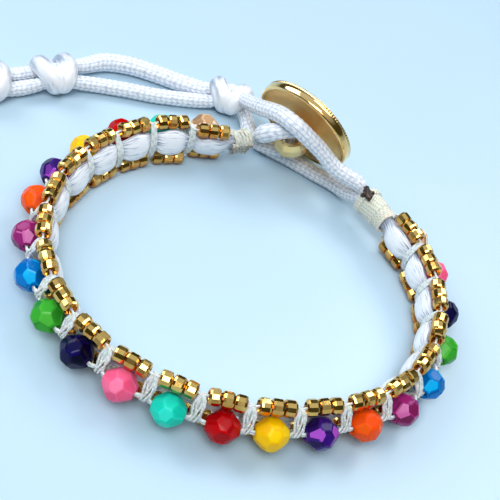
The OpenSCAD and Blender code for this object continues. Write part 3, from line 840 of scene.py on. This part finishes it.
def edge_line(side):
    """The thread through one row of seeds"""
    rows = [at(right_whip, 0.1, 0, side * 1.975)]
    for i, unit in enumerate(units):
        rows += [at(unit, -2.8, 0, side * ROW), at(unit, 2.8, 0, side * ROW)]
        if i < len(ties):
            rows.append(at(ties[i], 0, 0, side * (ROW - 0.4)))
    return even(smooth([*rows, at(left_whip, -0.1, 0, side * 1.975)], 4), 0.4)[0]


bead_threads = on_lines("double_bead_thread", [bead_line(1), bead_line(-1)], LOOSE, waxed)
dress(bead_threads, waxed, "thread", "bead_thread")
for side, node in ((1, "upper_seed_row"), (-1, "lower_seed_row")):
    edge = on_lines(node.replace("seed_row", "edge_thread"), [edge_line(side)], THREAD, waxed)
    dress(edge, waxed, "thread", node)

# %% [markdown]
# ## The whippings
# At the right end the thread is wound round both core cords in 14 close turns, with more
# over their far half and three at the very end. At the left end it is knotted instead, in
# four thick turns with threads crossing over them. Both are lines round a long oval, so
# they are made of the same thread by the same tree.

# %% Whippings
# Half the width of the pinched core, half its straight sides, and steps in one turn
PINCHED, STRAIGHT, STEPS = 1.25, 0.5, 28


def wound(place, start, length, turns, thickness, lift, slope, first=0.0):
    """A line wound round both core cords; slope moves each turn's outside along the band"""
    line = []
    for k in range(round(turns * STEPS) + 1):
        angle = first + math.tau * k / STEPS
        s = start + length * k / (turns * STEPS) + slope * math.cos(angle)
        r = PINCHED + thickness / 2 + lift
        line.append(at(place, s, r * math.cos(angle),
            r * math.sin(angle) + max(-STRAIGHT, min(STRAIGHT, 1.2 * math.sin(angle)))))
    return line


cream = thread_finish("cream nylon thread", "#EDE8D8", "#CEC7B5")
whip_lines = [wound(right_whip, -0.3, -6.1, 14.5, 0.44, 0.05, 0.25),
    wound(right_whip, -2.4, -3.9, 9.5, 0.44, 0.22, 0.2, 2.0),
    wound(right_whip, -5.3, -1.3, 3.2, 0.5, 0.5, 0.25, 5.2)]
right_winding = on_lines("right_winding", whip_lines, 0.52, cream, flatness=1, twist=0)
dress(right_winding, cream, "thread", "right_whipping")
chunky = [wound(left_whip, 0.35, 3.3, 4.4, 0.62, -0.05, 0.12),
    wound(left_whip, 0.5, 3.1, 4.4, 0.62, 0.0, -0.2, 0.5),
    wound(left_whip, 0.2, 3.6, 1.3, 0.5, 0.3, 0.5, 2.4),
    wound(left_whip, 3.6, -3.4, 1.4, 0.5, 0.28, -0.5, 0.4)]
left_winding = on_lines("left_knotted_winding", chunky, 0.6, cream, flatness=0.85)
dress(left_winding, cream, "thread", "left_whipping")

# %% [markdown]
# ## The melted thread end
# Nylon isn't cut and glued but melted: a flame turns the end of the thread into a hard
# dark brown bead, shiny on top and sooty in its creases, with a singed stub across it. Both
# are short tubes with a lumpy radius from seeded noise, and a material from two browns.

# %% Melted thread end
melted, tree, shader = new_finish("melted nylon", {"Roughness": 0.35, "IOR": 1.5,
    "Specular IOR Level": 0.6})
soot = add(tree, "ShaderNodeTexNoise", {"Scale": 1500, "Detail": 4,
    "Vector": add(tree, "ShaderNodeTexCoord").outputs["Object"]})
burn = add(tree, "ShaderNodeMapRange", {0: soot, 1: 0.38, 2: 0.62})
brown = add(tree, "ShaderNodeMix", {0: burn, 6: linear("#0C0805"), 7: linear("#402816")},
    data_type="RGBA")
crust = add(tree, "ShaderNodeBump", {"Strength": 0.6, "Distance": 0.0001, "Height": soot})
feed(tree, shader, {"Base Color": brown, "Normal": crust})
# Lumps in one round of the radius, and how far each reaches along
LUMPS_ROUND, LUMP_LONG = 12, 0.35
chance = random.Random(5)
lumps = [1 + 0.22 * chance.uniform(-1, 1) for _ in range(7 * LUMPS_ROUND)]
# places on the right winding, with the radius there
burnt_arms = [
    [(-7.2, -0.8, 2.35, 0.1), (-7.1, -0.8, 2.35, 0.45), (-6.5, -1.1, 2.4, 0.6),
        (-6.0, -1.3, 2.3, 0.45), (-5.3, -1.6, 2.2, 0.6), (-4.6, -1.9, 1.85, 0.2)],
    [(-5.4, -0.3, 2.6, 0.1), (-5.5, -0.5, 2.55, 0.35), (-5.9, -1.3, 2.3, 0.5),
        (-6.3, -2.0, 1.6, 0.35), (-6.4, -2.2, 1.35, 0.1)]]
burnt_shape = Shape()
for arm in burnt_arms:
    burnt_shape.tube(smooth([(*at(right_whip, *p[:3]), p[3]) for p in arm], 4),
        lambda row, mark, angle: row[3] * lumps[(int(mark / LUMP_LONG) * LUMPS_ROUND
            + int(angle / math.tau * LUMPS_ROUND)) % len(lumps)], 24, 0.12)
dress(burnt_shape.piece("melted_end"), melted, "melted_thread", "burnt_thread_end")
print("melted end made of", len(burnt_arms), "arms")

# %% [markdown]
# ## The button
# The button is cast metal with a thin layer of gold, turned and polished. The photograph
# shows its back: a shallow dish, a groove inside the rim, a polished edge band and a fine
# knurl where the edge meets the front. Its shank is a thick eye. The disc is turned like
# on a lathe, from a profile of distance from the axis and depth, with the knurl as a
# ripple in the rings that need it. The eye is left as cast, a ring of flat facets.

# %% Button finish
plated, tree, shader = new_finish("polished gold plate", {"Metallic": 1.0})
place = add(tree, "ShaderNodeTexCoord").outputs["Object"]
cloud = add(tree, "ShaderNodeTexNoise", {"Vector": place, "Scale": 160, "Detail": 3})
wipes = add(tree, "ShaderNodeTexNoise", {"Scale": 380, "Detail": 2,
    "Vector": add(tree, "ShaderNodeMapping", {0: place, "Rotation": (0.4, 0.3, 0.9),
        "Scale": (1, 14, 1)})})
warm = add(tree, "ShaderNodeMapRange", {0: cloud, 1: 0.35, 2: 0.65})
gold = add(tree, "ShaderNodeMix", {0: warm, 6: linear("#F4C070"), 7: linear("#FFE0A0")},
    data_type="RGBA")
# the rings are counted from the middle of the back: a dull dish, then a polished edge
counted = add(tree, "ShaderNodeSeparateXYZ", {0: add(tree, "ShaderNodeUVMap", uv_map="weave")})
dull = add(tree, "ShaderNodeMapRange",
    {0: counted.outputs["Y"], 1: 6.5, 2: 7.5, 3: 0.48, 4: 0.02})
blur = add(tree, "ShaderNodeMath", {0: wipes, 1: 0.12, 2: dull}, operation="MULTIPLY_ADD")
marks = add(tree, "ShaderNodeBump", {"Strength": 0.1, "Distance": 0.00004, "Height": wipes})
feed(tree, shader, {"Base Color": gold, "Roughness": blur, "Normal": marks})
print("finish made:", plated.name)

# %% Button
# How many knurls the edge has, and the depths of the rings that they cut
KNURLS, KNURL_DEPTHS = 110, (1.52, 1.66)
# The eye: rays round its hole and facets on each; radius of the hole; reach to the sides and
# below, to the disc and to its square corners; half its thickness, and place of its middle
EYE_RAYS, EYE_FACETS, EYE_HOLE = 18, 8, 1.5
EYE_REACH, EYE_TOP, EYE_CORNER, EYE_HALF, EYE_BACK = 3.3, 3.25, 4.2, 2.25, -2.9
# A ring number past the dish, where the finish is polished
POLISHED = 20


def on_button(p, q, r):
    """A point level, up and front from the middle of the button's back"""
    return BUTTON_AT + p * level + q * up + r * front


# distance from the axis and depth, from the middle of the back to the middle of the front
turned_profile = [(0.25, 0.12), (2.5, 0.16), (4.5, 0.24), (6.2, 0.34), (7.4, 0.42),
    (8.2, 0.46), (8.65, 0.44), (8.75, 0.24), (8.9, 0.08), (9.1, 0.02), (9.3, 0.06),
    (9.43, 0.18), (9.5, 0.38), (9.5, 0.9), (9.5, 1.4), (9.42, 1.46), (9.5, 1.52), (9.5, 1.66),
    (9.5, 1.8), (9.35, 1.92), (9.1, 2.02), (8.6, 2.16), (7.4, 2.48), (5.8, 2.84),
    (4.0, 3.11), (2.0, 3.26), (0.25, 3.3)]
disc = Shape()
rings = []
for r, depth in turned_profile:
    ring = []
    for angle in round_angles(4 * KNURLS):
        cut = 0.07 * (1 - math.cos(angle * KNURLS)) if depth in KNURL_DEPTHS else 0
        ring.append(on_button((r - cut) * math.cos(angle), (r - cut) * math.sin(angle), depth))
    rings.append(ring)
disc.skin(rings, list(range(len(rings))))
dress(disc.piece("turned_button"), plated, "gold_metal", "button")
eye, eye_rings = Shape(), []
for angle in round_angles(EYE_RAYS):
    p, q = math.cos(angle), math.sin(angle)
    # the eye is round below, and square where it stands on the disc
    reach = EYE_REACH
    if q > 0:
        reach = min(EYE_REACH / max(abs(p), 1e-6), EYE_TOP / max(q, 1e-6), EYE_CORNER)
    else:
        reach -= chance.uniform(0, 0.3)
    middle, half = (EYE_HOLE + reach) / 2, (reach - EYE_HOLE) / 2
    ring = []
    for j in range(EYE_FACETS):
        a = math.tau * (j + 0.5) / EYE_FACETS
        out = middle + 1.08 * half * math.cos(a)
        ring.append(on_button(out * p, EYE_HALF * math.sin(a), EYE_BACK + out * q))
    eye_rings.append(ring)
eye.skin(eye_rings, [POLISHED] * (EYE_RAYS + 1), closed=True)
dress(eye.piece("cast_shank", rounded=False), plated, "gold_metal", "button")
print("button", 2 * max(r for r, depth in turned_profile), "mm across,", KNURLS, "knurls")

# %% [markdown]
# ## Fire-polished glass
# The beads are pressed glass, cut with facets and passed through a flame, which leaves the
# facets flat and glossy and their edges a little soft. The imported solids have the right
# facets and bore, so they stay: a Weld modifier merges their corners and a Bevel rounds
# the edges by a few tenths of a millimetre. Light that wanders inside a bead makes single
# facets glow and others go dark, so the finish paints this light: it picks for each facet's
# direction a tone from painted shade to painted light, with painted light on the facet that
# faces the front window.

# %% Glass finish
# The direction of the window, and how nearly a facet has to face it to get the painted light
WINDOW, FACING = (-0.25, -0.68, 0.69), (0.92, 0.945)


def fired_glass(name, body, bright, shaded, roughness, glow):
    """Coloured glass whose facets differ in tone, from painted shade to painted light; glow is
    how far light wanders inside it
    """
    finish, tree, shader = new_finish(name, {"IOR": 1.5, "Specular IOR Level": 0.16,
        "Subsurface Weight": glow, "Subsurface Scale": 0.002})
    turn = add(tree, "ShaderNodeNewGeometry").outputs["True Normal"]
    facets = add(tree, "ShaderNodeTexVoronoi", {"Vector": turn, "Scale": 2.3})
    tone = add(tree, "ShaderNodeSeparateColor", {0: facets.outputs["Color"]})
    swirl = add(tree, "ShaderNodeTexNoise", {"Scale": 500, "Detail": 2,
        "Vector": add(tree, "ShaderNodeTexCoord").outputs["Object"]})
    # each facet's direction picks, at random, a tone between painted shade and painted light
    low = add(tree, "ShaderNodeMapRange", {0: tone, 1: 0.15, 2: 0.5})
    # painted light: the facet that faces the front window is painted as lit through, and so are
    # a few others
    faced = add(tree, "ShaderNodeVectorMath", {0: turn, 1: WINDOW}, operation="DOT_PRODUCT")
    lit = add(tree, "ShaderNodeMapRange", {0: faced, 1: FACING[0], 2: FACING[1]})
    most = add(tree, "ShaderNodeMath", {0: tone, 1: lit}, operation="MAXIMUM")
    high = add(tree, "ShaderNodeMapRange", {0: most, 1: 0.85, 2: 1})
    dark = add(tree, "ShaderNodeMix", {0: low, 6: linear(shaded), 7: linear(body)},
        data_type="RGBA")
    light = add(tree, "ShaderNodeMix", {0: high, 6: dark, 7: linear(bright)}, data_type="RGBA")
    mixed = add(tree, "ShaderNodeMix", {0: 0.12, 6: light, 7: swirl}, data_type="RGBA",
        blend_type="SOFT_LIGHT")
    blur = add(tree, "ShaderNodeMapRange", {0: swirl, 3: roughness, 4: roughness + 0.1})
    wave = add(tree, "ShaderNodeBump", {"Strength": 0.06, "Distance": 0.00005, "Height": swirl})
    feed(tree, shader, {"Base Color": mixed, "Roughness": blur, "Normal": wave})
    return finish


GLASS = {
    # body, facets with painted light, facets with painted shade, roughness, how much it glows
    "bronze": ("#D0AC84", "#F6E0C6", "#987048", 0.06, 0.1),
    "pink": ("#FF6890", "#FF7CA2", "#FA5884", 0.28, 0.35),
    "navy": ("#0A053C", "#120A50", "#050220", 0.1, 0.0),
    "green": ("#38A82C", "#52BC40", "#2C9024", 0.15, 0.25),
    "blue": ("#007CCC", "#10B4F0", "#0060A8", 0.1, 0.15),
    "plum": ("#9A2470", "#D068A8", "#781C50", 0.1, 0.15),
    "orange": ("#FA520A", "#FF6014", "#F04C06", 0.22, 0.3),
    "purple": ("#361474", "#A850C4", "#200A4C", 0.1, 0.1),
    "yellow": ("#FFC400", "#FFD000", "#FCBA00", 0.3, 0.35),
    "red": ("#B40006", "#C2040A", "#A00006", 0.15, 0.15),
    "turquoise": ("#1CD6BA", "#34E2C8", "#10CAAE", 0.3, 0.35)}
glasses = {name: fired_glass("fire polished " + name + " glass", *recipe)
    for name, recipe in GLASS.items()}
beads = sorted(name for name in nodes if name.startswith("bead_") and name != "bead_thread")
for name in beads:
    bead = nodes[name]
    bead.data.materials.clear()
    bead.data.materials.append(glasses[name.split("_")[2]])
    weld = bead.modifiers.new("corners merged", "WELD")
    weld.merge_threshold = 0.00001
    bevel = bead.modifiers.new("edges softened by fire", "BEVEL")
    bevel.width, bevel.segments = 0.00034, 3
    bevel.limit_method, bevel.angle_limit = "ANGLE", math.radians(20)
print(len(beads), "glass beads in", len(glasses), "colours")

# %% [markdown]
# ## Table and light
# The object lies on a plain pale table under soft daylight from three windows, which also
# give the white highlights. Metal and glass need something dark to mirror as well, so the
# room is pale only at its ceiling and at the horizon, where the table runs into it, and its
# walls are a dark olive grey.

# %% Table and light
# Half the table's width, wide enough that its edge is never seen
FAR = 6000
table_shape = Shape()
table_shape.points = [Vector((x * FAR, y * FAR, 0))
    for x, y in ((-1, -1), (1, -1), (1, 1), (-1, 1))]
table_shape.faces, table_shape.weave = [(0, 1, 2, 3)], [0, 0, 1, 0, 1, 1, 0, 1]
table = table_shape.piece("table", rounded=False)
pale, tree, shader = new_finish("pale glazed table", {"Roughness": 0.35,
    "Specular IOR Level": 0.3})
haze = add(tree, "ShaderNodeTexNoise", {"Scale": 14, "Detail": 2,
    "Vector": add(tree, "ShaderNodeTexCoord").outputs["Object"]})
tint = add(tree, "ShaderNodeMix", {0: haze, 6: linear("#B0CADA"), 7: linear("#BAD2E0")},
    data_type="RGBA")
feed(tree, shader, {"Base Color": tint})
table.data.materials.append(pale)
for name, place, size, power, colour in (
        ("front window", (-0.1, -0.3, 0.6), (0.42, 0.32), 2.7, "#FFFFFF"),
        ("left window", (-0.45, 0.3, 0.45), (0.5, 0.4), 2.9, "#F0F6FF"),
        ("right window", (0.35, 0.3, 0.5), (0.35, 0.3), 1.8, "#FFFFFF")):
    # a soft rectangular lamp at a place in metres, turned to the origin
    lamp = bpy.data.lights.new(name, "AREA")
    lamp.shape, lamp.size, lamp.size_y = "RECTANGLE", *size
    lamp.energy, lamp.color = power, linear(colour)[:3]
    holder = new_object(name, lamp)
    holder.location = place
    holder.rotation_euler = (-Vector(place)).to_track_quat("-Z", "Y").to_euler()
world = bpy.data.worlds.new("room")
bpy.context.scene.world = world
world.use_nodes = True
tree = world.node_tree
sky = tree.nodes["Background"]
height = add(tree, "ShaderNodeSeparateXYZ",
    {0: add(tree, "ShaderNodeTexCoord").outputs["Generated"]})
rise = add(tree, "ShaderNodeMapRange", {0: height.outputs["Z"], 1: 0.45, 2: 0.95},
    interpolation_type="SMOOTHSTEP")
sink = add(tree, "ShaderNodeMapRange", {0: height.outputs["Z"], 1: 0.16, 2: 0},
    interpolation_type="SMOOTHSTEP")
walls = add(tree, "ShaderNodeMix", {0: sink, 6: linear("#454838"), 7: linear("#B4CCDC")},
    data_type="RGBA")
room = add(tree, "ShaderNodeMix", {0: rise, 6: walls, 7: linear("#D4E2F4")}, data_type="RGBA")
feed(tree, sky, {"Color": room, "Strength": 0.9})
bpy.context.scene.view_settings.view_transform = "Standard"
